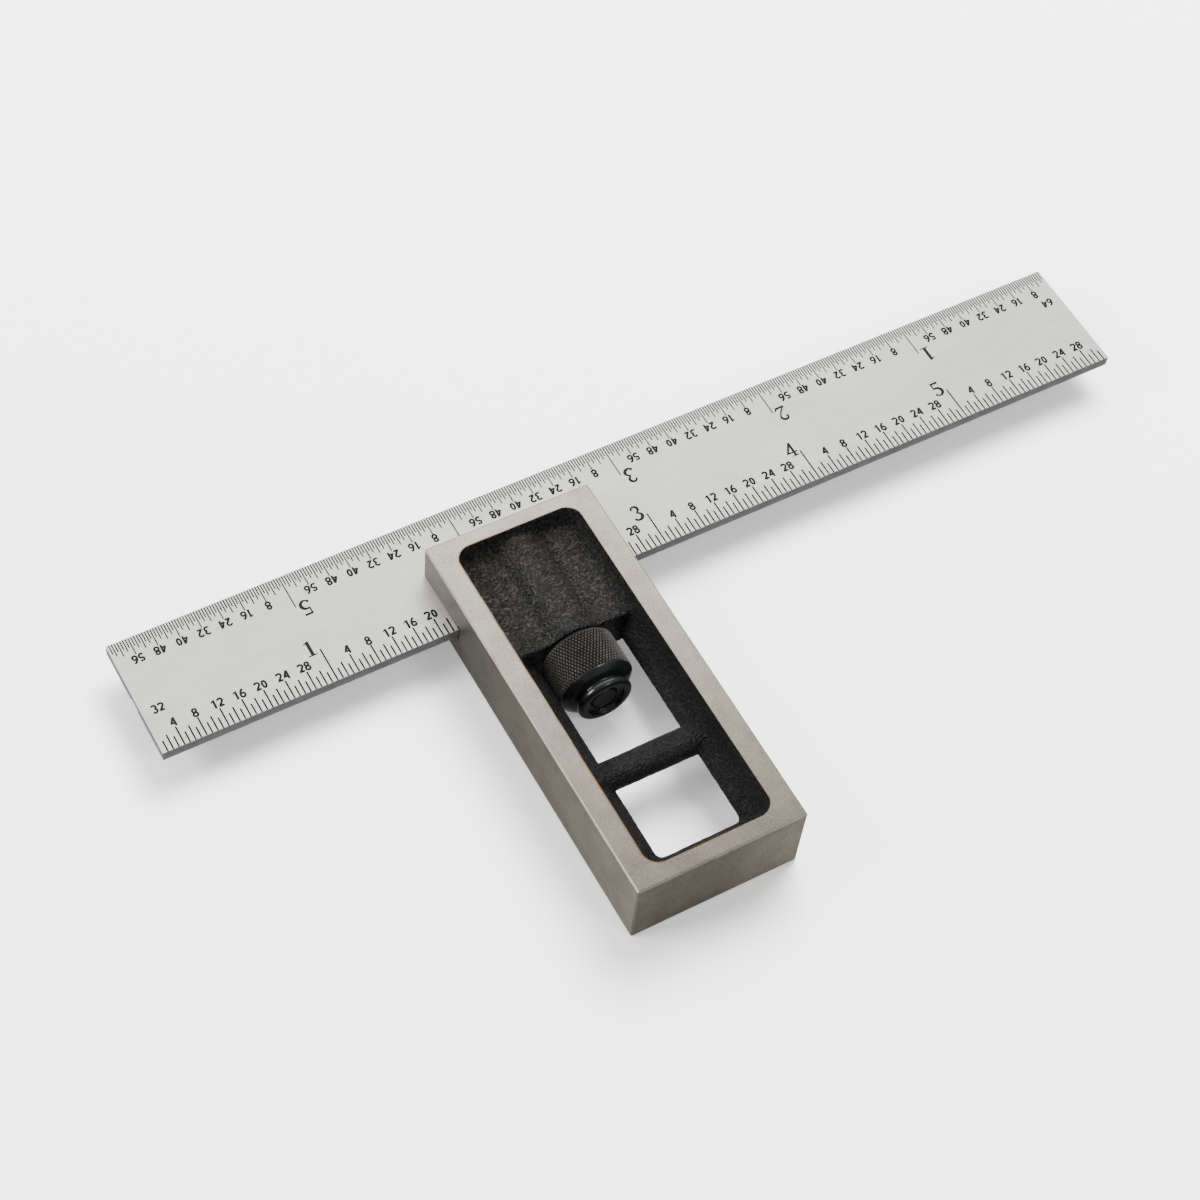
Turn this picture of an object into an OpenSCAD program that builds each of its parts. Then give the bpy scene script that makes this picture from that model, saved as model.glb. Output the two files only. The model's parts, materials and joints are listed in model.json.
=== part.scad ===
// Double square: a short slotted head that clamps a thin graduated blade.
// Row frame: origin at the middle of the head's bottom face, +X along the
// blade, +Y towards the slotted end of the head, +Z up. Millimetres.

/* [Head] */
// width of the head along the blade
head_w = 25.3; // [20:0.1:32]
// length of the head, square to the blade
head_l = 59; // [45:0.5:80]
// thickness of the head
head_t = 12; // [10:0.1:16]
// broken edge all round the ground faces
edge_c = 0.25; // [0.1:0.05:0.8]
// half width of the cast pocket at the rim
pocket_hw = 9.4; // [8:0.1:10.5]
// half width of the windows at mid thickness
window_hw = 6.15; // [5:0.05:8]
// how far the windows sit to the right of the pocket's middle
window_x = 0.45; // [-0.5:0.05:0.5]
// thickness of the wall at the plain end, at the rim
end_wall = 2.6; // [2:0.1:5]
// thickness of the wall at the slotted end, at the rim
slot_wall = 2.2; // [1.8:0.1:4]
// where the boss over the slot begins, from the head's middle
boss_y = 9.6; // [6:0.1:14]
// depth of the boss floor below the ground face
boss_drop = 2.6; // [1.2:0.1:3]
// middle of the crossbar, from the head's middle
bar_y = -10.1; // [-14:0.1:-6]
// radius of the round crossbar
bar_r = 2.15; // [1.6:0.05:3]

/* [Blade] */
// length of the blade
blade_l = 152.4; // [100:0.1:200]
// width of the blade
blade_w = 18.6; // [15:0.1:25]
// thickness of the blade
blade_t = 1.7; // [1:0.05:2.5]
// left end of the blade as shown
blade_x0 = -56.1; // [-139.7:0.1:-12.7]
// underside of the blade
blade_z = 4.42; // [4:0.01:5.5]
// depth of the slot from the end of the head
slot_d = 10.35; // [8:0.05:14]
// width of the groove in the underside of the blade
groove_w = 2.4; // [1.5:0.1:4]
// depth of the groove
groove_d = 0.6; // [0.3:0.05:0.9]

/* [Lock] */
// height of the lock bolt's axis
bolt_z = 5.7; // [5:0.1:6.5]
// radius of the bore for the lock bolt
bore_r = 3.2; // [2.8:0.05:4]
// radius of the threaded shank, drawn plain
shank_r = 2; // [1.5:0.05:2.5]
// radius of the knurled nut
nut_r = 5.5; // [4.5:0.1:6]
// back face of the knurled nut
nut_y1 = 9.25; // [8:0.05:10]
// front face of the knurled nut
nut_y0 = 0.4; // [-2:0.1:2]

/* [Spring] */
// radius of the spring's wire
wire_r = 0.28; // [0.2:0.01:0.35]
// radius of the spring to the middle of its wire
coil_r = 2.62; // [2.4:0.01:2.8]
// turns of the spring
coils = 4.25; // [3:0.25:6]

/* [Hidden] */
$fn = 64;
hw = head_w / 2;
hl = head_l / 2;
mid = head_t / 2;
slot_y = hl - slot_d;
gap = 0.05;
rim_y0 = -hl + end_wall;
rim_y1 = hl - slot_wall;
grey = [0.68, 0.66, 0.63];
steel = [0.8, 0.81, 0.82];
black = [0.1, 0.1, 0.1];

// a box with all twelve edges broken
module broken_box(w, l, t, c) {
    intersection() {
        linear_extrude(t) polygon([[-w/2 + c, -l/2], [w/2 - c, -l/2], [w/2, -l/2 + c], [w/2, l/2 - c],
            [w/2 - c, l/2], [-w/2 + c, l/2], [-w/2, l/2 - c], [-w/2, -l/2 + c]]);
        rotate([90, 0, 0]) translate([0, 0, -l]) linear_extrude(2 * l)
            polygon([[-w/2 + c, 0], [w/2 - c, 0], [w/2, c], [w/2, t - c], [w/2 - c, t], [-w/2 + c, t], [-w/2, t - c], [-w/2, c]]);
        rotate([90, 0, 90]) translate([0, 0, -w]) linear_extrude(2 * w)
            polygon([[-l/2 + c, 0], [l/2 - c, 0], [l/2, c], [l/2, t - c], [l/2 - c, t], [-l/2 + c, t], [-l/2, t - c], [-l/2, c]]);
    }
}

// a thin rounded rectangle of the pocket: h half width, r corner radius, n near and f far end
module slab(h, r, n, f, z, x = 0) {
    translate([x, 0, z]) linear_extrude(0.02) union() {
        translate([-h + r, n]) square([2 * (h - r), f - n]);
        translate([-h, n + r]) square([2 * h, f - n - 2 * r]);
        for (u = [-h + r, h - r]) for (v = [n + r, f - r]) translate([u, v]) circle(r, $fn = 32);
    }
}

// one drafted layer of the pocket, on the side of the ground face s (1 top, -1 bottom)
module layer(h0, n0, r0, z0, x0, h1, n1, r1, z1, x1) {
    hull() {
        slab(h0, r0, n0, rim_y1 - (pocket_hw - h0), z0, x0);
        slab(h1, r1, n1, rim_y1 - (pocket_hw - h1), z1, x1);
    }
}

module pocket_half() {
    layer(window_hw, rim_y0 + 3.2, 0.9, mid - 0.02, window_x, 8.2, rim_y0 + 1.15, 1.5, mid + 1.7, window_x / 3);
    layer(8.2, rim_y0 + 1.15, 1.5, mid + 1.7, window_x / 3, 9.0, rim_y0 + 0.4, 1.9, mid + 3.2, 0);
    layer(9.0, rim_y0 + 0.4, 1.9, mid + 3.2, 0, pocket_hw, rim_y0, 2.3, head_t + 0.01, 0);
}

// half-round ridge over the bore and the flat boss floor on both faces
module boss() {
    translate([-pocket_hw - 0.6, boss_y, boss_drop]) cube([2 * pocket_hw + 1.2, hl - boss_y - 0.6, head_t - 2 * boss_drop]);
    translate([0, boss_y, bolt_z]) rotate([-90, 0, 0]) cylinder(r = 5, h = hl - boss_y - 0.6);
}

module head() {
    color(grey) difference() {
        union() {
            difference() {
                broken_box(head_w, head_l, head_t, edge_c);
                pocket_half();
                translate([0, 0, head_t]) mirror([0, 0, 1]) pocket_half();
            }
            boss();
            translate([-pocket_hw - 0.4, bar_y, mid]) rotate([0, 90, 0]) cylinder(r = bar_r, h = 2 * pocket_hw + 0.8);
        }
        // slot for the blade with relief cuts in its corners
        translate([-hw - 1, slot_y, blade_z - gap]) cube([head_w + 2, slot_d + 1, blade_t + 2 * gap]);
        translate([-hw - 1, slot_y - 0.2, blade_z - 1]) cube([head_w + 2, 0.5, blade_t + 2]);
        // bore for the bolt, its neck and the pocket for the spring
        translate([0, 15.8, bolt_z]) rotate([-90, 0, 0]) cylinder(r = bore_r, h = hl);
        translate([0, 13, bolt_z]) rotate([-90, 0, 0]) cylinder(r = shank_r + 0.06, h = 4);
        translate([0, boss_y - 1, bolt_z]) rotate([-90, 0, 0]) cylinder(r = bore_r, h = 4.8);
    }
}

module blade() {
    color(steel) difference() {
        translate([blade_x0, slot_y + 0.03, blade_z]) cube([blade_l, blade_w, blade_t]);
        translate([blade_x0 - 1, slot_y + 0.03 + (blade_w - groove_w) / 2, blade_z - 1]) cube([blade_l + 2, groove_w, groove_d + 1]);
    }
}

module lock_bolt() {
    groove_y = slot_y + 0.03 + (blade_w - groove_w) / 2;
    color(black) union() {
        difference() {
            translate([0, 16.1, bolt_z]) rotate([-90, 0, 0]) cylinder(r = bore_r - 0.03, h = hl - 16.1 - 0.35);
            // notch for the blade
            translate([-5, slot_y - 0.6, blade_z - gap]) cube([10, 20, blade_t + 2 * gap]);
        }
        // hook that stands in the groove of the blade
        translate([-2.3, groove_y + 0.03, blade_z - 0.6]) cube([4.6, 1.75, 0.6 + groove_d - 0.1]);
        translate([0, 1.2, bolt_z]) rotate([-90, 0, 0]) cylinder(r = shank_r, h = 15.1);
        translate([0, 0.9, bolt_z]) rotate([-90, 0, 0]) cylinder(r1 = shank_r - 0.3, r2 = shank_r, h = 0.3);
    }
}

// round wire wound about the bolt's axis, both ends closed
module spring() {
    y0 = nut_y1 + wire_r + 0.02;
    // its far end stays short of its seat by the travel that releases the bolt
    y1 = boss_y - 1 + 4.8 - wire_r - 0.34;
    n = 10;
    turns = coils;
    m = round(turns * 24);
    function dead(t) = t < 0.75 ? 0 : t > turns - 0.75 ? 1 : (t - 0.75) / (turns - 1.5);
    pts = [for (i = [0:m]) let (t = i * turns / m, a = 360 * t,
        end0 = min(t, 1) * 0.58, end1 = min(turns - t, 1) * 0.58,
        free = (y1 - y0) - 1.16, y = y0 + end0 + free * dead(t) + (0.58 - end1))
        for (j = [0:n - 1]) let (b = 360 * j / n, r = coil_r + wire_r * cos(b))
            [r * cos(a), y + wire_r * sin(b), r * sin(a) + bolt_z]];
    faces = concat([[for (j = [0:n - 1]) j]], [[for (j = [n - 1:-1:0]) m * n + j]],
        [for (i = [0:m - 1], j = [0:n - 1]) let (p = i * n + j, q = i * n + (j + 1) % n) [q, p, p + n]],
        [for (i = [0:m - 1], j = [0:n - 1]) let (p = i * n + j, q = i * n + (j + 1) % n) [q, p + n, q + n]]);
    color(steel) polyhedron(pts, faces, convexity = 8);
}

module knurled_nut() {
    color(black) translate([0, nut_y1, bolt_z]) rotate([90, 0, 0])
        rotate_extrude() polygon([[shank_r + 0.03, 0], [nut_r - 0.4, 0], [nut_r, 0.4], [nut_r, nut_y1 - 3.2],
            [nut_r - 0.1, nut_y1 - 2.95], [4.5, nut_y1 - 2.15], [3.6, nut_y1 - 1.8], [3.6, nut_y1 - 1.45], [4.05, nut_y1 - 1.25],
            [4.05, nut_y1 - 0.75], [3.75, nut_y1 - nut_y0], [3.0, nut_y1 - nut_y0], [2.85, nut_y1 - nut_y0 - 0.12],
            [2.75, nut_y1 - nut_y0 - 0.6], [shank_r + 0.03, nut_y1 - nut_y0 - 0.65]]);
}

head();
blade();
lock_bolt();
spring();
knurled_nut();
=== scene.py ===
"""Double square: looks, light and camera over the CAD frame. Metres, row frame."""
import json
import math

import bmesh
import bpy
import numpy as np
from mathutils import Matrix, Vector, noise
from mathutils.geometry import delaunay_2d_cdt

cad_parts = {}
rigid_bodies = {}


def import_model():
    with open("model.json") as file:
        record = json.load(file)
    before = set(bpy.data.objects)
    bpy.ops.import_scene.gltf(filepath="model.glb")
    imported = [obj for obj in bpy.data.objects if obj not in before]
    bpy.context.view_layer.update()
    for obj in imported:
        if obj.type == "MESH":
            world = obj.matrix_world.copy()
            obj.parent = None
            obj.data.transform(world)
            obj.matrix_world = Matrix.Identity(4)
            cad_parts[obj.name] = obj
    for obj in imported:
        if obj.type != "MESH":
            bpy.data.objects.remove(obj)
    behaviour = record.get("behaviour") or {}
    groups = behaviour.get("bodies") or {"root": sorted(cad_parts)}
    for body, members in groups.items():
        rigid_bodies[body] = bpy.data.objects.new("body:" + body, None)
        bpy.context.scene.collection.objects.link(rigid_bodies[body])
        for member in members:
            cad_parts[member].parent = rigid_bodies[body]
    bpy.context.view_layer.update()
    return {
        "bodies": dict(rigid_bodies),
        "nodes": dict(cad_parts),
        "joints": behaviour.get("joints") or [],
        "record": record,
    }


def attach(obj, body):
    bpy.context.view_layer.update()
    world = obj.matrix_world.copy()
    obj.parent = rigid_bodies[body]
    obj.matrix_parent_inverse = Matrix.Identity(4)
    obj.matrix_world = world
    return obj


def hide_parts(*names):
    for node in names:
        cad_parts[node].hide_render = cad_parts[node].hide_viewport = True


MM = 0.001
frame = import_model()


# ---------------------------------------------------------------- materials
def new_material(name):
    m = bpy.data.materials.new(name)
    m.use_nodes = True
    nt = m.node_tree
    bsdf = next(n for n in nt.nodes if n.type == "BSDF_PRINCIPLED")
    return m, nt, bsdf


def node(nt, kind, **values):
    n = nt.nodes.new(kind)
    for k, v in values.items():
        if k in n.inputs:
            n.inputs[k].default_value = v
        else:
            setattr(n, k, v)
    return n


def coords(nt, scale=(1, 1, 1), rot=(0, 0, 0)):
    tc = node(nt, "ShaderNodeTexCoord")
    mp = node(nt, "ShaderNodeMapping")
    mp.inputs["Scale"].default_value = scale
    mp.inputs["Rotation"].default_value = rot
    nt.links.new(tc.outputs["Object"], mp.inputs["Vector"])
    return mp.outputs["Vector"]


def noise_tex(nt, vec, scale, detail=4.0, rough=0.6):
    n = node(nt, "ShaderNodeTexNoise")
    n.inputs["Scale"].default_value = scale
    n.inputs["Detail"].default_value = detail
    n.inputs["Roughness"].default_value = rough
    nt.links.new(vec, n.inputs["Vector"])
    return n.outputs["Fac"]


def ramp(nt, fac, stops):
    r = node(nt, "ShaderNodeValToRGB")
    el = r.color_ramp.elements
    while len(el) > 1:
        el.remove(el[-1])
    el[0].position, el[0].color = stops[0][0], (*stops[0][1], 1)
    for p, c in stops[1:]:
        e = el.new(p)
        e.color = (*c, 1)
    nt.links.new(fac, r.inputs["Fac"])
    return r.outputs["Color"]


def math_node(nt, op, a, b):
    n = node(nt, "ShaderNodeMath", operation=op)
    for i, v in enumerate((a, b)):
        if isinstance(v, (int, float)):
            n.inputs[i].default_value = v
        else:
            nt.links.new(v, n.inputs[i])
    return n.outputs[0]


def bump(nt, bsdf, height, strength, distance, before=None):
    b = node(nt, "ShaderNodeBump")
    b.inputs["Strength"].default_value = strength
    b.inputs["Distance"].default_value = distance
    nt.links.new(height, b.inputs["Height"])
    if before is not None:
        nt.links.new(before, b.inputs["Normal"])
    nt.links.new(b.outputs["Normal"], bsdf.inputs["Normal"])
    return b.outputs["Normal"]


POCKET_R = 0.0023


def ground_iron():
    """Finely ground cast iron: warm grey, short grinding grain along the head, faint mottling, and painted light by
    facing: a painted reflection on the top and bottom that fades towards the plain end, painted shade on the sides and
    end faces painted lighter towards +x.
    """
    m, nt, p = new_material("ground_iron")
    grain = noise_tex(nt, coords(nt, (4200, 620, 4200)), 1.0, 3, 0.7)
    fine = noise_tex(nt, coords(nt), 4600, 2, 0.65)
    cloud = noise_tex(nt, coords(nt), 260, 4, 0.6)
    mix = math_node(nt, "ADD", math_node(nt, "MULTIPLY", fine, 0.62), math_node(nt, "MULTIPLY", cloud, 0.38))
    tone = ramp(nt, mix, [(0.36, (0.240, 0.217, 0.175)), (0.5, (0.322, 0.294, 0.240)), (0.66, (0.400, 0.368, 0.305))])
    sep = node(nt, "ShaderNodeSeparateXYZ")
    nt.links.new(coords(nt), sep.inputs[0])
    facing = node(nt, "ShaderNodeSeparateXYZ")
    nt.links.new(node(nt, "ShaderNodeTexCoord").outputs["Normal"], facing.inputs[0])
    share = [math_node(nt, "MULTIPLY", facing.outputs[i], facing.outputs[i]) for i in range(3)]

    def ranged(value, start, stop, lo, hi):
        r = node(nt, "ShaderNodeMapRange")
        nt.links.new(value, r.inputs[0])
        for i, v in ((1, start), (2, stop), (3, lo), (4, hi)):
            r.inputs[i].default_value = v
        return r.outputs[0]

    # painted light: the colour is scaled by which way each face looks; the top and bottom carry a painted reflection
    # that fades to 0.48 at the near, plain end
    painted_top_reflection = math_node(nt, "MULTIPLY", share[2], ranged(sep.outputs[1], -0.030, 0.020, 0.48, 1.05))
    # painted shade on the sides: 0.80 of the colour, and on the left side lighter at the near end and darker towards
    # the far end
    left = math_node(nt, "MULTIPLY", ranged(sep.outputs[0], -0.001, 0.001, 1.0, 0.0), ranged(sep.outputs[1], -0.030, 0.020, 0.24, -0.44))
    side = math_node(nt, "MULTIPLY", share[0], math_node(nt, "ADD", left, 0.80))
    # the end faces are painted lighter towards +x, from 0.80 to 1.30
    ends = math_node(nt, "MULTIPLY", share[1], ranged(sep.outputs[0], 0.000, 0.010, 0.80, 1.30))
    shade = node(nt, "ShaderNodeVectorMath", operation="SCALE")
    nt.links.new(tone, shade.inputs[0])
    nt.links.new(math_node(nt, "ADD", math_node(nt, "ADD", painted_top_reflection, side), ends), shade.inputs["Scale"])
    # a thin brown line where the grinding has cut through the enamel, round the pocket
    qx = math_node(nt, "SUBTRACT", math_node(nt, "ABSOLUTE", sep.outputs[0], 0.0), 0.0094 - POCKET_R)
    qy = math_node(nt, "SUBTRACT", math_node(nt, "ABSOLUTE", math_node(nt, "SUBTRACT", sep.outputs[1], 0.0002), 0.0), 0.0271 - POCKET_R)
    ox = math_node(nt, "MAXIMUM", qx, 0.0)
    oy = math_node(nt, "MAXIMUM", qy, 0.0)
    far = math_node(nt, "SQRT", math_node(nt, "ADD", math_node(nt, "MULTIPLY", ox, ox), math_node(nt, "MULTIPLY", oy, oy)), 0.0)
    gap = math_node(nt, "SUBTRACT", far, POCKET_R)
    line = ranged(gap, 0.00010, 0.00024, 0.85, 0.0)
    brown = math_node(nt, "MULTIPLY", math_node(nt, "MULTIPLY", line, share[2]), ranged(cloud, 0.35, 0.60, 0.35, 1.0))
    brown = math_node(nt, "MULTIPLY", brown, ranged(sep.outputs[0], -0.002, 0.009, 1.0, 0.25))
    mix_c = node(nt, "ShaderNodeMix", data_type="RGBA")
    nt.links.new(brown, mix_c.inputs["Factor"])
    nt.links.new(shade.outputs[0], mix_c.inputs[6])
    mix_c.inputs[7].default_value = (0.135, 0.052, 0.012, 1.0)
    nt.links.new(mix_c.outputs[2], p.inputs["Base Color"])
    p.inputs["Metallic"].default_value = 0.85
    r = math_node(nt, "ADD", math_node(nt, "MULTIPLY", grain, 0.18), 0.35)
    nt.links.new(r, p.inputs["Roughness"])
    h = math_node(nt, "ADD", math_node(nt, "MULTIPLY", grain, 0.6), math_node(nt, "MULTIPLY", fine, 0.7))
    bump(nt, p, h, 0.45, 0.00004)
    return m


def cast_black():
    """Black wrinkle enamel in the cast pocket, with painted highlights on the wrinkle crests, painted shade in their
    hollows and painted shade over the near part of the pocket.
    """
    m, nt, p = new_material("cast_black")
    wrinkle = noise_tex(nt, coords(nt, (1.0, 1.5, 1.0)), 2400, 1.2, 0.5)
    ridge = math_node(nt, "ABSOLUTE", math_node(nt, "SUBTRACT", noise_tex(nt, coords(nt, (1.0, 1.5, 1.0)), 3000, 1, 0.5), 0.5), 0.0)
    height = math_node(nt, "SUBTRACT", wrinkle, math_node(nt, "MULTIPLY", ridge, 1.5))
    spots = noise_tex(nt, coords(nt), 420, 3, 0.5)
    # painted highlight and shade: the colour follows the wrinkle height, lighter on the crests and near black in the
    # hollows
    tone = ramp(nt, height, [(0.22, (0.0014, 0.0013, 0.0011)), (0.43, (0.0056, 0.0051, 0.0044)), (0.57, (0.0310, 0.0285, 0.0242))])
    sep = node(nt, "ShaderNodeSeparateXYZ")
    nt.links.new(coords(nt), sep.inputs[0])
    # painted shade: the cast black nearer than y = 7.8 mm, over the windows' walls and the crossbar, is darkened to
    # 0.30, rising to full colour by y = 12.5 mm at the front of the boss by the nut; it is made rougher there too
    painted_pocket_shade = node(nt, "ShaderNodeMapRange")
    nt.links.new(sep.outputs[1], painted_pocket_shade.inputs[0])
    for i, v in ((1, 0.0078), (2, 0.0125), (3, 0.30), (4, 1.0)):
        painted_pocket_shade.inputs[i].default_value = v
    shade = node(nt, "ShaderNodeVectorMath", operation="SCALE")
    nt.links.new(tone, shade.inputs[0])
    nt.links.new(painted_pocket_shade.outputs[0], shade.inputs["Scale"])
    nt.links.new(shade.outputs[0], p.inputs["Base Color"])
    dull = math_node(nt, "MULTIPLY", math_node(nt, "SUBTRACT", 1.0, painted_pocket_shade.outputs[0]), 0.20)
    r = math_node(nt, "ADD", math_node(nt, "ADD", math_node(nt, "MULTIPLY", spots, 0.16), 0.24), dull)
    nt.links.new(r, p.inputs["Roughness"])
    p.inputs["Specular IOR Level"].default_value = 0.38
    bump(nt, p, height, 1.0, 0.00040)
    return m


def satin_steel():
    """Satin chromed rule face: light grey, a very fine frosted grain and faint streaks along its length."""
    m, nt, p = new_material("satin_steel")
    frost = noise_tex(nt, coords(nt), 5200, 3, 0.7)
    streak = noise_tex(nt, coords(nt, (60, 1500, 1500)), 1.0, 3, 0.6)
    cloud = noise_tex(nt, coords(nt, (1, 2.2, 1)), 95, 3, 0.55)
    mix = math_node(nt, "ADD", math_node(nt, "MULTIPLY", frost, 0.34), math_node(nt, "ADD", math_node(nt, "MULTIPLY", streak, 0.33), math_node(nt, "MULTIPLY", cloud, 0.33)))
    nt.links.new(ramp(nt, mix, [(0.34, (0.405, 0.398, 0.382)), (0.66, (0.520, 0.513, 0.495))]), p.inputs["Base Color"])
    p.inputs["Metallic"].default_value = 0.8
    r = math_node(nt, "ADD", math_node(nt, "MULTIPLY", frost, 0.14), math_node(nt, "ADD", math_node(nt, "MULTIPLY", streak, 0.06), 0.36))
    nt.links.new(r, p.inputs["Roughness"])
    bump(nt, p, frost, 0.3, 0.00003)
    return m


def edge_steel():
    """Ground edge of the rule, streaked along its length."""
    m, nt, p = new_material("edge_steel")
    grain = noise_tex(nt, coords(nt, (350, 6000, 6000)), 1.0, 3, 0.6)
    nt.links.new(ramp(nt, grain, [(0.3, (0.34, 0.34, 0.34)), (0.7, (0.47, 0.47, 0.47))]), p.inputs["Base Color"])
    p.inputs["Metallic"].default_value = 0.9
    r = math_node(nt, "ADD", math_node(nt, "MULTIPLY", grain, 0.2), 0.28)
    nt.links.new(r, p.inputs["Roughness"])
    bump(nt, p, grain, 0.25, 0.00003)
    return m


def ink():
    """Black fill in the cut marks, a little uneven."""
    m, nt, p = new_material("mark_ink")
    n = noise_tex(nt, coords(nt), 4200, 2, 0.6)
    nt.links.new(ramp(nt, n, [(0.3, (0.004, 0.004, 0.004)), (0.75, (0.014, 0.014, 0.013))]), p.inputs["Base Color"])
    p.inputs["Roughness"].default_value = 0.85
    p.inputs["Specular IOR Level"].default_value = 0.12
    return m


def black_oxide(name, gloss, tone):
    m, nt, p = new_material(name)
    n = noise_tex(nt, coords(nt), 900, 4, 0.6)
    a = tuple(0.5 * c for c in tone)
    nt.links.new(ramp(nt, n, [(0.3, a), (0.75, tone)]), p.inputs["Base Color"])
    p.inputs["Metallic"].default_value = 0.35
    r = math_node(nt, "ADD", math_node(nt, "MULTIPLY", n, 0.14), gloss)
    nt.links.new(r, p.inputs["Roughness"])
    bump(nt, p, noise_tex(nt, coords(nt), 3800, 2, 0.5), 0.15, 0.00002)
    return m


def wire_steel():
    m, nt, p = new_material("spring_wire")
    n = noise_tex(nt, coords(nt), 2600, 3, 0.6)
    nt.links.new(ramp(nt, n, [(0.3, (0.28, 0.28, 0.29)), (0.7, (0.42, 0.42, 0.43))]), p.inputs["Base Color"])
    p.inputs["Metallic"].default_value = 0.95
    p.inputs["Roughness"].default_value = 0.32
    return m


GROUND = ground_iron()
CAST = cast_black()
SATIN = satin_steel()
EDGE = edge_steel()
INK = ink()
KNURL = black_oxide("knurl_black", 0.28, (0.062, 0.057, 0.050))
GLOSS = black_oxide("turned_black", 0.15, (0.013, 0.0145, 0.015))
BOLT = black_oxide("bolt_black", 0.30, (0.010, 0.0095, 0.009))
WIRE = wire_steel()


def add_object(name, verts, faces, mats, face_mat=None, smooth=None):
    me = bpy.data.meshes.new(name)
    me.from_pydata([tuple(v) for v in verts], [], [tuple(f) for f in faces])
    for m in mats:
        me.materials.append(m)
    if face_mat is not None:
        me.polygons.foreach_set("material_index", [int(i) for i in face_mat])
    if smooth is not None:
        me.polygons.foreach_set("use_smooth", [bool(i) for i in smooth])
    me.update()
    o = bpy.data.objects.new(name, me)
    bpy.context.scene.collection.objects.link(o)
    return o


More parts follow.
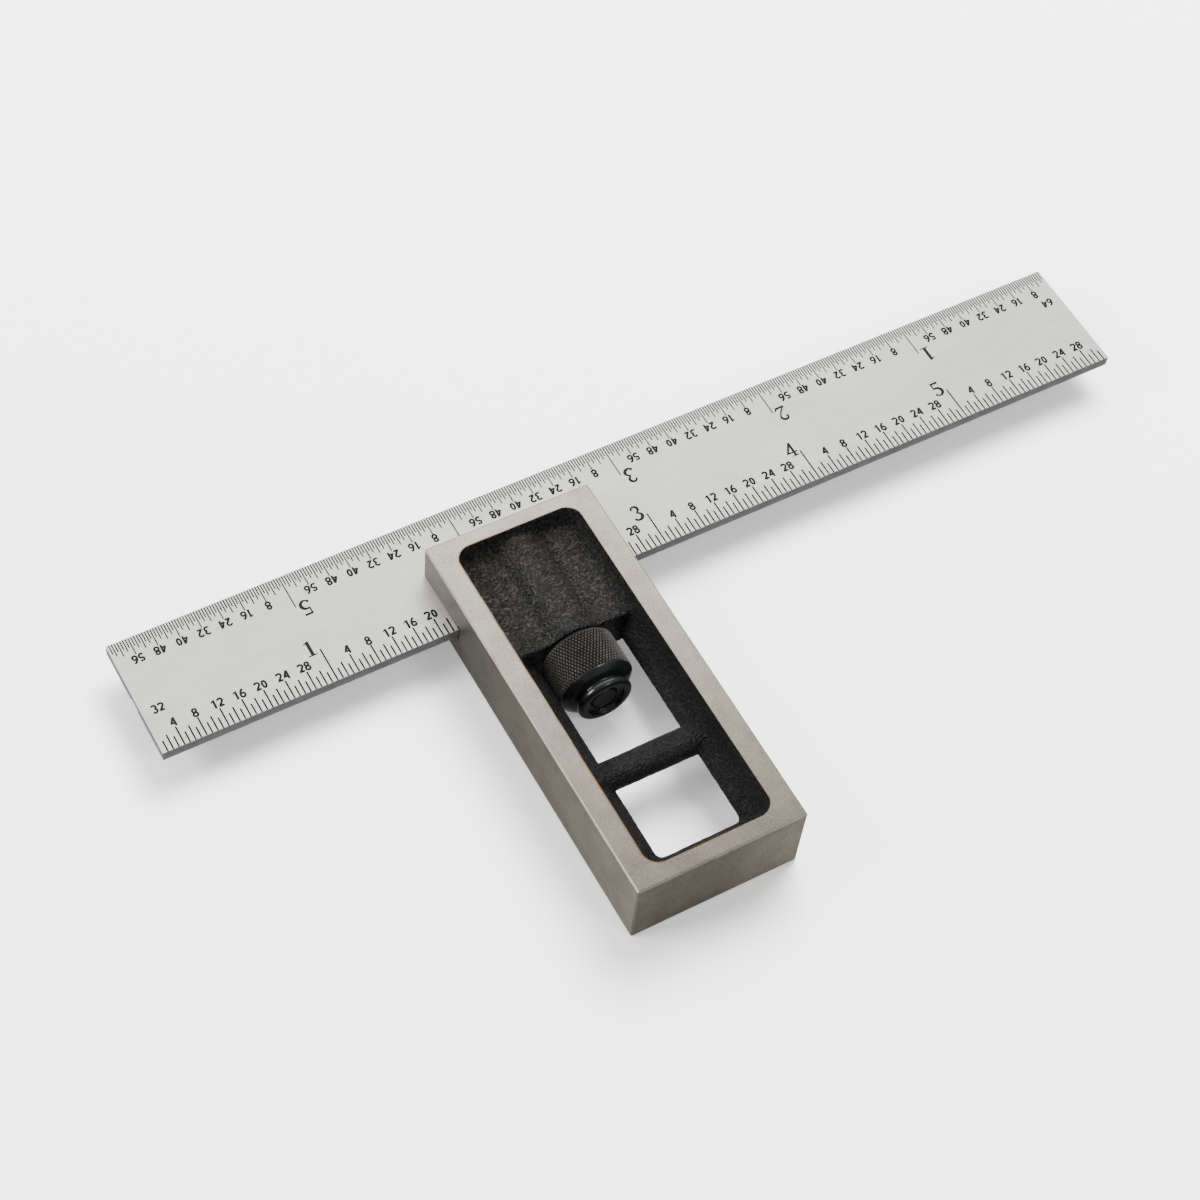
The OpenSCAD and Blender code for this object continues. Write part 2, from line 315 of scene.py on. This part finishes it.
# ---------------------------------------------------------------- head
def make_head():
    src = frame["head"] if isinstance(frame, dict) and "head" in frame else bpy.data.objects["head"]
    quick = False
    me = src.data.copy()
    me.name = "head_body"
    o = bpy.data.objects.new("head_body", me)
    bpy.context.scene.collection.objects.link(o)
    mod = o.modifiers.new("remesh", "REMESH")
    mod.mode = "VOXEL"
    mod.voxel_size = (0.4 if quick else 0.2) * MM
    mod.adaptivity = 0.0
    bpy.context.view_layer.update()
    ev = o.evaluated_get(bpy.context.evaluated_depsgraph_get())
    out = bpy.data.meshes.new_from_object(ev)
    o.modifiers.clear()
    o.data = out
    n = len(out.vertices)
    co = np.zeros(n * 3)
    out.vertices.foreach_get("co", co)
    co = co.reshape(-1, 3)
    # snap the ground planes back onto their true places
    snap = 0.12 * MM
    for ax, val in ((0, 12.65), (0, -12.65), (1, 29.5), (1, -29.5), (2, 0.0), (2, 12.0)):
        near = np.abs(co[:, ax] - val * MM) < snap
        co[near, ax] = val * MM
    # and the small broken edges onto their true slopes
    c = 0.25 * MM
    out_of = np.stack([12.65 * MM - np.abs(co[:, 0]), 29.5 * MM - np.abs(co[:, 1]), np.minimum(co[:, 2], 12 * MM - co[:, 2])], 1)
    upper = co[:, 2] > 6 * MM
    for a, b in ((0, 1), (0, 2), (1, 2)):
        m = (out_of[:, a] < 0.999 * c) & (out_of[:, b] < 0.999 * c)
        d = (c - out_of[m, a] - out_of[m, b]) / 2
        out_of[m, a] = (out_of[m, a] + d).clip(0)
        out_of[m, b] = (out_of[m, b] + d).clip(0)
    co[:, 0] = np.sign(co[:, 0]) * (12.65 * MM - out_of[:, 0])
    co[:, 1] = np.sign(co[:, 1]) * (29.5 * MM - out_of[:, 1])
    co[:, 2] = np.where(upper, 12 * MM - out_of[:, 2], out_of[:, 2])
    # the cast skin: inside the pocket, clear of the ground frame and of the bore and slot
    ins = (np.abs(co[:, 0]) < 9.55 * MM) & (co[:, 1] > -27.1 * MM) & (co[:, 1] < 27.5 * MM)
    lift = np.minimum(co[:, 2], 12 * MM - co[:, 2])
    cast = ins & (lift > 0.10 * MM)
    # soften the cast junctions
    edges = np.zeros(len(out.edges) * 2, int)
    out.edges.foreach_get("vertices", edges)
    edges = edges.reshape(-1, 2)
    deg = np.bincount(edges.ravel(), minlength=n)[:, None].clip(1)
    r_ax = np.hypot(co[:, 0], co[:, 2] - 5.7 * MM)
    bore = (r_ax < 3.5 * MM) & (co[:, 1] > 8.9 * MM)
    slot = (co[:, 1] > 18.6 * MM) & (co[:, 2] > 3.8 * MM) & (co[:, 2] < 6.8 * MM)
    free = cast & ~bore & ~slot & (lift > 0.45 * MM)
    # the near edge of the webs is rounder than the rest
    front = free & (co[:, 1] > 8.6 * MM) & (co[:, 1] < 12.4 * MM) & (lift > 1.0 * MM) & (lift < 4.6 * MM)
    for step in range(26 if not quick else 9):
        part = free if step < (6 if not quick else 3) else front
        acc = np.zeros_like(co)
        for k in range(3):
            acc[:, k] = np.bincount(edges[:, 0], co[edges[:, 1], k], n) + np.bincount(edges[:, 1], co[edges[:, 0], k], n)
        avg = acc / deg
        co[part] += 0.5 * (avg[part] - co[part])
    out.vertices.foreach_set("co", co.ravel())
    out.update()
    # rough casting: low lumps and small wrinkles along the normals
    nor = np.zeros(n * 3)
    out.vertices.foreach_get("normal", nor)
    nor = nor.reshape(-1, 3)
    # the webs over the bolt sink a little beside the round hump, softly on the left and sharply on the right
    xm, ym = co[:, 0] / MM, co[:, 1] / MM
    side = np.where(co[:, 2] > 6 * MM, 1.0, -1.0)
    web = free & (np.abs(xm) < 8.2) & (ym > 9.7) & (ym < 26.6) & (nor[:, 2] * side > 0.4)
    sink = 0.42 * np.exp(-((xm + 4.1) / 1.2) ** 2) + 0.40 * np.exp(-((xm - 3.8) / 0.55) ** 2)
    sink *= ((ym - 9.7) / 1.5).clip(0, 1)
    co[web, 2] -= (side * sink)[web] * MM
    idx = np.where(free)[0]
    for i in idx:
        p = Vector(co[i])
        a = noise.noise(p * 260.0) * 0.10 + noise.noise(p * 900.0) * 0.08 + noise.noise(p * 1700.0) * 0.085
        fade = min(1.0, max(0.0, (lift[i] / MM - 0.45) / 0.6))
        if abs(co[i][0]) < 7.2 * MM and -0.6 * MM < co[i][1] < 9.9 * MM:
            fade *= 0.3     # the nut turns close to these edges
        elif co[i][1] < 8.5 * MM:
            fade *= 0.38    # the windows and their walls are smoother
        co[i] += nor[i] * a * MM * fade
    out.vertices.foreach_set("co", co.ravel())
    out.update()
    # one material for the ground outside, one for the cast inside
    cen = np.zeros(len(out.polygons) * 3)
    out.polygons.foreach_get("center", cen)
    cen = cen.reshape(-1, 3)
    pin = (np.abs(cen[:, 0]) < 9.7 * MM) & (cen[:, 1] > -27.3 * MM) & (cen[:, 1] < 27.7 * MM)
    plift = np.minimum(cen[:, 2], 12 * MM - cen[:, 2])
    in_slot = (cen[:, 1] > 18.9 * MM) & (cen[:, 2] > 3.9 * MM) & (cen[:, 2] < 6.7 * MM)
    pr = np.hypot(cen[:, 0], cen[:, 2] - 5.7 * MM)
    in_bore = (pr < 3.35 * MM) & (cen[:, 1] > 12.0 * MM)
    black = pin & (plift > 0.04 * MM) & ~in_slot & ~in_bore
    out.materials.clear()
    out.materials.append(GROUND)
    out.materials.append(CAST)
    out.polygons.foreach_set("material_index", black.astype(int))
    out.polygons.foreach_set("use_smooth", black | in_bore)
    out.update()
    return o


head = make_head()
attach(head, "head")
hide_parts("head")


# ---------------------------------------------------------------- blade
X0, X1 = -56.1, 96.3
Y0, Y1 = 19.18, 37.78
ZT, ZB = 6.12, 4.42
GY0, GY1 = Y0 + (Y1 - Y0 - 2.4) / 2, Y0 + (Y1 - Y0 + 2.4) / 2
CUT = 0.035


def arc(cx, cy, rx, ry, a0, a1, n=12):
    return [(cx + rx * math.cos(math.radians(a0 + (a1 - a0) * i / n)), cy + ry * math.sin(math.radians(a0 + (a1 - a0) * i / n))) for i in range(n + 1)]


def stroke(points, widths):
    """Outline of a pen stroke through the points with the given full widths."""
    left, right = [], []
    n = len(points)
    for i, (x, y) in enumerate(points):
        a = points[max(0, i - 1)]
        b = points[min(n - 1, i + 1)]
        dx, dy = b[0] - a[0], b[1] - a[1]
        d = math.hypot(dx, dy) or 1.0
        w = widths[i] if isinstance(widths, (list, tuple)) else widths
        nx, ny = -dy / d * w / 2, dx / d * w / 2
        left.append((x + nx, y + ny))
        right.append((x - nx, y - ny))
    return left + right[::-1]


W = 0.235


def sans(d):
    """Bold plain digit in a cell 0.6 wide and 1 high: list of (outline, ...) strokes that may overlap."""
    w = W
    h = w / 2
    if d == "0":
        return [stroke(arc(0.3, 0.5, 0.3 - h, 0.5 - h, 90, 450, 28), w)]
    if d == "1":
        return [[(0.27, 0), (0.27 + w * 1.05, 0), (0.27 + w * 1.05, 1), (0.27, 1)], [(0.30, 1.0), (0.08, 0.80), (0.08, 0.66), (0.30, 0.82)]]
    if d == "2":
        return [stroke(arc(0.30, 0.71, 0.235, 0.215, 165, -35, 16) + [(0.09, 0.07)], w), [(0.03, 0), (0.58, 0), (0.58, w), (0.03, w)]]
    if d == "3":
        return [stroke(arc(0.27, 0.73, 0.225, 0.20, 155, -85, 16), w), stroke(arc(0.27, 0.29, 0.245, 0.215, 85, -150, 16), w)]
    if d == "4":
        return [[(0.36, 0), (0.36 + w, 0), (0.36 + w, 1), (0.36, 1)], [(0.0, 0.22), (0.6, 0.22), (0.6, 0.22 + w), (0.0, 0.22 + w)], stroke([(0.06, 0.27), (0.43, 0.93)], w)]
    if d == "5":
        return [stroke([(0.54, 1 - h), (0.14, 1 - h), (0.11, 0.55)], w), stroke([(0.10, 0.56)] + arc(0.28, 0.32, 0.235, 0.245, 110, -150, 18), w)]
    if d == "6":
        return [stroke(arc(0.3, 0.30, 0.225, 0.225, 0, 360, 24), w), stroke([(0.50, 0.93), (0.36, 0.90), (0.20, 0.74), (0.10, 0.50), (0.08, 0.28)], w)]
    if d == "7":
        return [[(0.03, 1 - w), (0.57, 1 - w), (0.57, 1), (0.03, 1)], stroke([(0.50, 0.95), (0.20, 0.0)], w)]
    if d == "8":
        return [stroke(arc(0.3, 0.74, 0.20, 0.185, 0, 360, 24), w), stroke(arc(0.3, 0.29, 0.225, 0.215, 0, 360, 24), w)]
    return [stroke(arc(0.3, 0.70, 0.225, 0.225, 0, 360, 24), w), stroke([(0.10, 0.07), (0.24, 0.10), (0.40, 0.26), (0.50, 0.50), (0.52, 0.72)], w)]


def serif(d):
    """Book-style digit in a cell 0.62 wide and 1 high."""
    if d == "1":
        return [[(0.22, 0.03), (0.40, 0.03), (0.40, 1), (0.22, 0.93)], [(0.08, 0), (0.54, 0), (0.54, 0.08), (0.08, 0.08)], [(0.38, 1), (0.10, 0.87), (0.10, 0.80), (0.28, 0.86)]]
    if d == "2":
        p = arc(0.29, 0.73, 0.20, 0.22, 165, -30, 16) + [(0.32, 0.36), (0.09, 0.09)]
        w = [0.08 + 0.09 * math.sin(math.pi * min(1, i / 16)) for i in range(17)] + [0.10, 0.08]
        return [stroke(p, w), [(0.02, 0), (0.53, 0), (0.62, 0.27), (0.56, 0.27), (0.48, 0.15), (0.02, 0.13)], arc(0.13, 0.74, 0.075, 0.075, 0, 360, 14)[:-1]]
    if d == "3":
        p = arc(0.27, 0.76, 0.19, 0.20, 150, -80, 16)
        w = [0.08 + 0.09 * math.sin(math.pi * i / 16) for i in range(17)]
        q = arc(0.25, 0.28, 0.25, 0.235, 85, -145, 18)
        v = [0.08 + 0.10 * math.sin(math.pi * i / 18) for i in range(19)]
        return [stroke(p, w), stroke(q, v), arc(0.125, 0.83, 0.07, 0.07, 0, 360, 14)[:-1], arc(0.095, 0.14, 0.08, 0.08, 0, 360, 14)[:-1]]
    if d == "4":
        return [[(0.35, 0.03), (0.49, 0.03), (0.49, 1), (0.35, 0.93)], [(0.22, 0), (0.61, 0), (0.61, 0.08), (0.22, 0.08)], [(0.0, 0.24), (0.63, 0.24), (0.63, 0.34), (0.0, 0.34)], [(0.0, 0.28), (0.12, 0.28), (0.49, 0.93), (0.38, 1.0)]]
    q = arc(0.26, 0.31, 0.245, 0.27, 112, -140, 18)
    v = [0.08 + 0.10 * math.sin(math.pi * min(1.0, 0.12 + i / 19)) for i in range(19)]
    return [[(0.09, 0.87), (0.50, 0.86), (0.56, 1.0), (0.09, 1.0)], [(0.09, 0.96), (0.18, 0.96), (0.19, 0.53), (0.10, 0.50)], stroke(q, v), arc(0.10, 0.14, 0.08, 0.08, 0, 360, 14)[:-1]]


def text_polys(text, style, height, cx, cy, turn, spacing=0.70):
    """Digit outlines centred on (cx, cy); turn True sets them upside down."""
    n = len(text)
    total = spacing * (n - 1) + 0.6
    out = []
    for i, ch in enumerate(text):
        for poly in style(ch):
            pts = []
            for x, y in poly:
                px = (x + spacing * i - total / 2) * height * (1.1 if style is serif else 0.98)
                py = (y - 0.5) * height
                if turn:
                    px, py = -px, -py
                pts.append((cx + px, cy + py))
            out.append(pts)
    return out


def rect(xa, xb, ya, yb):
    return [(xa, ya), (xb, ya), (xb, yb), (xa, yb)]


def scale_marks(division, edge, wide):
    """Marks and numbers of one edge as outlines; edge 'near' reads left to right, 'far' is turned."""
    polys = []
    far = edge == "far"

    def put(u, reach, w):
        x = X1 - u if far else X0 + u
        if far:
            polys.append(("tick", rect(x - w / 2, x + w / 2, Y1 - reach, Y1)))
        else:
            polys.append(("tick", rect(x - w / 2, x + w / 2, Y0, Y0 + reach)))

    def number(text, style, h, u, depth, dx=0.0, spacing=0.70):
        x = X1 - u - dx if far else X0 + u + dx
        y = Y1 - depth if far else Y0 + depth
        for p in text_polys(text, style, h, x, y, far, spacing):
            polys.append(("text", p))

    total = int(round(6 * division))
    for i in range(1, total):
        u = i * 25.4 / division
        f = i % division
        if f == 0:
            reach = 5.55
        elif division == 32:
            reach = 3.05 if f % 4 == 0 else 2.45 if f % 2 == 0 else 1.8
        elif division == 64:
            reach = 2.95 if f % 8 == 0 else 2.55 if f % 4 == 0 else 2.1 if f % 2 == 0 else 1.6
        elif division == 16:
            reach = 4.2 if f % 8 == 0 else 3.3 if f % 4 == 0 else 2.6 if f % 2 == 0 else 1.8
        else:
            reach = 4.2 if f % 4 == 0 else 3.3 if f % 2 == 0 else 2.4
        put(u, reach, wide)
        if f and division == 32 and f % 4 == 0:
            number(str(f), sans, 1.40, u, 3.85)
        if f and division == 64 and f % 8 == 0:
            number(str(f), sans, 1.36, u, 3.66 if far else 3.8)
        if f == 0:
            number(str(i // division), serif, 2.55, u, 6.2, -1.25)
    number(str(division), sans, 1.35, 2.3, 5.85 if far else 6.7)
    return polys


def wound(poly, x, y):
    """Non-zero winding, so that strokes which cross themselves stay filled."""
    wn = 0
    n = len(poly)
    for i in range(n):
        x0, y0 = poly[i]
        x1, y1 = poly[(i + 1) % n]
        if y0 <= y:
            if y1 > y and (x1 - x0) * (y - y0) - (x - x0) * (y1 - y0) > 0:
                wn += 1
        elif y1 <= y and (x1 - x0) * (y - y0) - (x - x0) * (y1 - y0) < 0:
            wn -= 1
    return wn != 0


def make_blade():
    verts, faces, mats, index = [], [], [], {}

    def vert(x, y, z):
        key = (round(x, 5), round(y, 5), round(z, 5))
        if key not in index:
            index[key] = len(verts)
            verts.append((key[0] * MM, key[1] * MM, key[2] * MM))
        return index[key]

    def face(ids, m):
        ids = [a for k, a in enumerate(ids) if a != ids[k - 1]]
        if len(set(ids)) >= 3:
            faces.append(ids)
            mats.append(m)

    perimeter = {}

    def strip(polys, rects, zf, zc, up):
        """One face of the blade, made of one or more rectangles that share no marks."""
        for xa, xb, ya, yb in rects:
            here = [q for q in polys if min(p[1] for p in q[1]) >= ya - 1e-6 and max(p[1] for p in q[1]) <= yb + 1e-6]
            pts, edges = [], []

            def add(loop):
                s = len(pts)
                pts.extend(loop)
                edges.extend((s + i, s + (i + 1) % len(loop)) for i in range(len(loop)))

            add(rect(xa, xb, ya, yb))
            for _, p in here:
                add(p)
            vs, es, fs, _, _, _ = delaunay_2d_cdt([Vector(p) for p in pts], edges, [], 0, 1e-5)
            boxes = [(min(p[0] for p in q[1]), max(p[0] for p in q[1]), min(p[1] for p in q[1]), max(p[1] for p in q[1]), q[1]) for q in here]
            boxes.sort(key=lambda b: b[0])
            lows = np.array([b[0] for b in boxes])
            highs = np.array([b[1] for b in boxes])
            inked = []
            keep = []
            for f in fs:
                cx = sum(vs[i][0] for i in f) / len(f)
                cy = sum(vs[i][1] for i in f) / len(f)
                if not (xa < cx < xb and ya < cy < yb):
                    continue
                keep.append(f)
                near = np.where((lows <= cx) & (highs >= cx))[0] if len(boxes) else []
                inked.append(any(boxes[k][2] <= cy <= boxes[k][3] and wound(boxes[k][4], cx, cy) for k in near))
            side = {}
            for f, k in zip(keep, inked):
                z = zc if k else zf
                ids = [vert(vs[i][0], vs[i][1], z) for i in f]
                face(ids if up else ids[::-1], 1 if k else 0)
                for a, b in zip(f, list(f[1:]) + [f[0]]):
                    side.setdefault((min(a, b), max(a, b)), []).append((a, b, k))
            for (a, b), owners in side.items():
                if len(owners) == 2 and owners[0][2] != owners[1][2]:
                    # wall of a mark, seen from inside it
                    p, q, _ = next(o for o in owners if not o[2])
                    ids = [vert(*vs[q], zf), vert(*vs[p], zf), vert(*vs[p], zc), vert(*vs[q], zc)]
                    face(ids if up else ids[::-1], 1)
                elif len(owners) == 1:
                    p, q, k = owners[0]
                    P, Q = vs[p], vs[q]
                    perimeter.setdefault("top" if up else "bottom", []).append((tuple(P), tuple(Q), zc if k else zf, zf, zc))
        return

    top = scale_marks(32, "near", 0.24) + scale_marks(64, "far", 0.185)
    under = scale_marks(8, "near", 0.25) + scale_marks(16, "far", 0.22)
    # the underside is read with the blade turned over about its length
    mirrored = [(k, [(X0 + X1 - x, y) for x, y in p]) for k, p in under]
    strip(top, [(X0, X1, Y0, Y1)], ZT, ZT - CUT, True)
    strip(mirrored, [(X0, X1, Y0, GY0), (X0, X1, GY1, Y1)], ZB, ZB + CUT, False)

    # outer walls: points along each long edge and end, top and bottom
    def wall(axis, value, reverse, lo, hi, m):
        """A side wall at x or y = value, between the runs of the top and the bottom face."""
        def run(side):
            segs = []
            for P, Q, z, zf, zc in perimeter[side]:
                if abs(P[axis] - value) < 1e-4 and abs(Q[axis] - value) < 1e-4:
                    a, b = sorted((P[1 - axis], Q[1 - axis]))
                    if a >= lo - 1e-4 and b <= hi + 1e-4:
                        segs.append((a, b, z))
            segs.sort()
            line = []
            for a, b, z in segs:
                line.append((a, z))
                line.append((b, z))
            out = []
            for p in line:
                if not out or abs(out[-1][0] - p[0]) > 1e-6 or abs(out[-1][1] - p[1]) > 1e-6:
                    out.append(p)
            return out
        t, b = run("top"), run("bottom")

        def at(s, z):
            return vert(value, s, z) if axis == 0 else vert(s, value, z)
        # a middle line splits the wall into an upper and a lower band of triangles
        zm = (ZT + ZB) / 2 + 0.2
        for line, upper in ((t, True), (b, False)):
            ends = [at(lo, zm), at(hi, zm)]
            ring = [at(s, z) for s, z in line]
            ids = ring + [ends[1], ends[0]]
            ids = ids if (upper != reverse) else ids[::-1]
            face(ids, m)

    # long walls
    wall(1, Y0, True, X0, X1, 2)
    wall(1, Y1, False, X0, X1, 2)
    # groove: roof, two inner walls
    zg = ZB + 0.6
    for y, rev in ((GY0, False), (GY1, True)):
        segs = [(min(P[0], Q[0]), max(P[0], Q[0]), z) for P, Q, z, _, _ in perimeter["bottom"] if abs(P[1] - y) < 1e-4 and abs(Q[1] - y) < 1e-4]
        segs.sort()
        ids = [vert(a, y, z) for a, b, z in segs] + [vert(segs[-1][1], y, segs[-1][2]), vert(X1, y, zg), vert(X0, y, zg)]
        face(ids if rev else ids[::-1], 2)
    face([vert(X0, GY0, zg), vert(X0, GY1, zg), vert(X1, GY1, zg), vert(X1, GY0, zg)], 2)
    # the two ends follow the groove
    for x, rev in ((X0, False), (X1, True)):
        zm = (ZT + ZB) / 2 + 0.2
        tops = sorted({round(v, 6) for P, Q, z, _, _ in perimeter["top"] if abs(P[0] - x) < 1e-4 and abs(Q[0] - x) < 1e-4 for v in (P[1], Q[1])})
        ids = [vert(x, y, ZT) for y in tops] + [vert(x, Y1, zm), vert(x, Y1, ZB), vert(x, GY1, ZB), vert(x, GY1, zg), vert(x, GY0, zg), vert(x, GY0, ZB), vert(x, Y0, ZB), vert(x, Y0, zm)]
        face(ids if rev else ids[::-1], 2)
    o = add_object("blade_rule", verts, faces, [SATIN, INK, EDGE], mats)
    bm = bmesh.new()
    bm.from_mesh(o.data)
    bmesh.ops.triangulate(bm, faces=[f for f in bm.faces if len(f.verts) > 4])
    bmesh.ops.recalc_face_normals(bm, faces=bm.faces)
    bm.to_mesh(o.data)
    bm.free()
    return o


blade = make_blade()
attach(blade, "blade")
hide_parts("blade")


# ---------------------------------------------------------------- knurled nut
def make_nut():
    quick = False
    teeth = 68
    r0 = 5.5
    y_back, y_front = 9.25, 0.4
    bz = 5.7
    k0, k1 = 8.85, 3.1
    per = 4 if quick else 8
    nt_ = teeth * per
    pitch = 2 * math.pi * r0 / teeth
    rows = max(8, int((k0 - k1) / (pitch / (per * 1.0))))
    prof = []   # (y, r, knurled, material)
    prof.append((y_back, 2.03, 0, 1))
    prof.append((y_back, 4.9, 0, 1))
    prof.append((y_back - 0.04, 5.02, 0, 1))
    for i in range(rows + 1):
        prof.append((k0 - (k0 - k1) * i / rows, r0, 1, 0))
    prof += [(3.02, 5.43, 0, 1), (2.95, 5.40, 0, 1), (2.86, 5.32, 0, 1), (2.55, 4.98, 0, 1), (2.25, 4.63, 0, 1), (2.12, 4.45, 0, 1), (2.02, 4.2, 0, 1), (1.93, 3.92, 0, 1),
             (1.84, 3.70, 0, 1), (1.76, 3.60, 0, 1), (1.66, 3.56, 0, 1), (1.56, 3.56, 0, 1), (1.47, 3.61, 0, 1), (1.40, 3.72, 0, 1), (1.32, 3.90, 0, 1), (1.24, 4.02, 0, 1), (1.14, 4.06, 0, 1),
             (0.82, 4.06, 0, 1), (0.66, 4.02, 0, 1), (0.54, 3.92, 0, 1), (0.45, 3.78, 0, 1), (y_front, 3.62, 0, 1),
             (y_front, 3.12, 0, 1), (0.42, 3.0, 0, 1), (0.47, 2.9, 0, 1), (0.55, 2.85, 0, 1), (0.88, 2.80, 0, 1), (0.96, 2.74, 0, 1), (1.0, 2.62, 0, 1), (1.03, 2.2, 0, 1), (1.05, 2.03, 0, 1)]
    verts, faces, mats, smooth, crest = [], [], [], [], []
    n = nt_

    def tri(v):
        v = v - math.floor(v)
        return 1 - abs(2 * v - 1)
    for (y, r, kn, m) in prof:
        for j in range(n):
            a = 2 * math.pi * j / n
            rr = r
            h = 0.0
            if kn:
                s = teeth * j / n
                t = y / pitch / 1.0
                h = min(tri(s + t * 0.62), tri(s - t * 0.62))
                end = min(1.0, (k0 - y) / 0.25, (y - k1) / 0.25)
                rr = r - 0.28 * (1 - min(1.0, h * 1.5)) - 0.12 * (1 - max(0.0, end))
            verts.append((rr * math.sin(a) * MM, y * MM, (bz + rr * math.cos(a)) * MM))
            crest.append(h)
    for i in range(len(prof)):
        i2 = (i + 1) % len(prof)
        for j in range(n):
            j2 = (j + 1) % n
            faces.append((i * n + j, i2 * n + j, i2 * n + j2, i * n + j2))
            k = prof[i][2] and prof[i2][2]
            # painted shade and wear: faces in the knurl's valleys take the darker bolt black, as painted shade, and the
            # crests the lighter knurl black, as wear
            high = crest[i * n + j] + crest[i2 * n + j] + crest[i2 * n + j2] + crest[i * n + j2] > 1.5
            mats.append((0 if high else 2) if k else 1)
            smooth.append(not k)
    o = add_object("nut_knurled", verts, faces, [KNURL, GLOSS, BOLT], mats, smooth)
    bm = bmesh.new()
    bm.from_mesh(o.data)
    bmesh.ops.recalc_face_normals(bm, faces=bm.faces)
    bm.to_mesh(o.data)
    bm.free()
    return o


nut = make_nut()
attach(nut, "knurled_nut")
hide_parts("knurled_nut")

# the bolt and the spring keep their CAD shape
for name, mat in (("lock_bolt", BOLT), ("spring", WIRE)):
    ob = bpy.data.objects[name]
    ob.data.materials.clear()
    ob.data.materials.append(mat)

# ---------------------------------------------------------------- floor
def plain_floor():
    m, nt, p = new_material("floor_white")
    p.inputs["Base Color"].default_value = (0.92, 0.905, 0.89, 1)
    p.inputs["Roughness"].default_value = 0.9
    p.inputs["Specular IOR Level"].default_value = 0.0
    p.inputs["Emission Color"].default_value = (1, 1, 1, 1)
    p.inputs["Emission Strength"].default_value = 0.32
    s = 3.0
    o = add_object("floor", [(-s, -s, 0), (s, -s, 0), (s, s, 0), (-s, s, 0)], [(0, 1, 2, 3)], [m])
    o.location.z = -0.00002
    o.visible_glossy = False
    return o


plain_floor()


# ---------------------------------------------------------------- light
def area(name, loc, target, size, power, color=(1, 1, 1)):
    d = bpy.data.lights.new(name, "AREA")
    d.shape = "RECTANGLE"
    d.size, d.size_y = size
    d.energy = power
    d.color = color
    o = bpy.data.objects.new(name, d)
    o.location = loc
    o.rotation_euler = (Vector(target) - Vector(loc)).to_track_quat("-Z", "Y").to_euler()
    bpy.context.scene.collection.objects.link(o)
    return o


world = bpy.data.worlds.new("studio") if bpy.context.scene.world is None else bpy.context.scene.world
bpy.context.scene.world = world
world.use_nodes = True
bg = next(n for n in world.node_tree.nodes if n.type == "BACKGROUND")
bg.inputs["Color"].default_value = (1, 1, 1, 1)
wt = world.node_tree
way = node(wt, "ShaderNodeSeparateXYZ")
wt.links.new(node(wt, "ShaderNodeTexCoord").outputs["Generated"], way.inputs[0])


def span(value, a, b, lo, hi):
    r = node(wt, "ShaderNodeMapRange")
    for i, v in ((1, a), (2, b), (3, lo), (4, hi)):
        r.inputs[i].default_value = v
    wt.links.new(value, r.inputs[0])
    return r.outputs[0]


# a pale room above, and a dim one below the table's level that is dimmer towards the viewer
below = span(way.outputs[1], -0.6, 0.6, 0.16, 0.42)
above = span(way.outputs[2], -0.15, 0.12, 0.0, 1.0)
wt.links.new(math_node(wt, "ADD", math_node(wt, "MULTIPLY", above, 0.52), math_node(wt, "MULTIPLY", math_node(wt, "SUBTRACT", 1.0, above), below)), bg.inputs["Strength"])

# a wide panel overhead and behind, and a low panel behind on the right that throws the shadows forward
area("overhead", (0.23, 0.86, 0.80), (0.02, 0.0, 0), (1.4, 1.0), 15.0)
area("key", (-0.74, 0.33, 0.58), (0.0, 0.0, 0), (0.44, 0.36), 11.0)
fill = area("fill", (0.46, 0.42, 0.78), (0.02, 0.0, 0), (0.70, 0.50), 38.0)
fill.visible_glossy = False
# a small panel in front on the right for the glints on the turned and cast black
area("glint", (0.30, -0.62, 0.62), (0.0, 0.0, 0), (0.24, 0.12), 2.6)


# ---------------------------------------------------------------- camera
F = 2696.7
R = [[0.87101746, -0.48603586, 0.07139835], [-0.36888296, -0.74308932, -0.55834006], [0.32442864, 0.45998631, -0.82653412]]
C = (-0.11316, -0.15556, 0.31232)
cam = bpy.data.cameras.new("camera")
cam.sensor_fit = "HORIZONTAL"
cam.sensor_width = 36.0
cam.lens = F / 1200 * 36.0
cam.clip_start = 0.01
cam.clip_end = 20
co = bpy.data.objects.new("camera", cam)
right, down, fwd = (Vector(r) for r in R)
rot = Matrix((right, -down, -fwd)).transposed()
co.matrix_world = Matrix.Translation(C) @ rot.to_4x4()
bpy.context.scene.collection.objects.link(co)
bpy.context.scene.camera = co
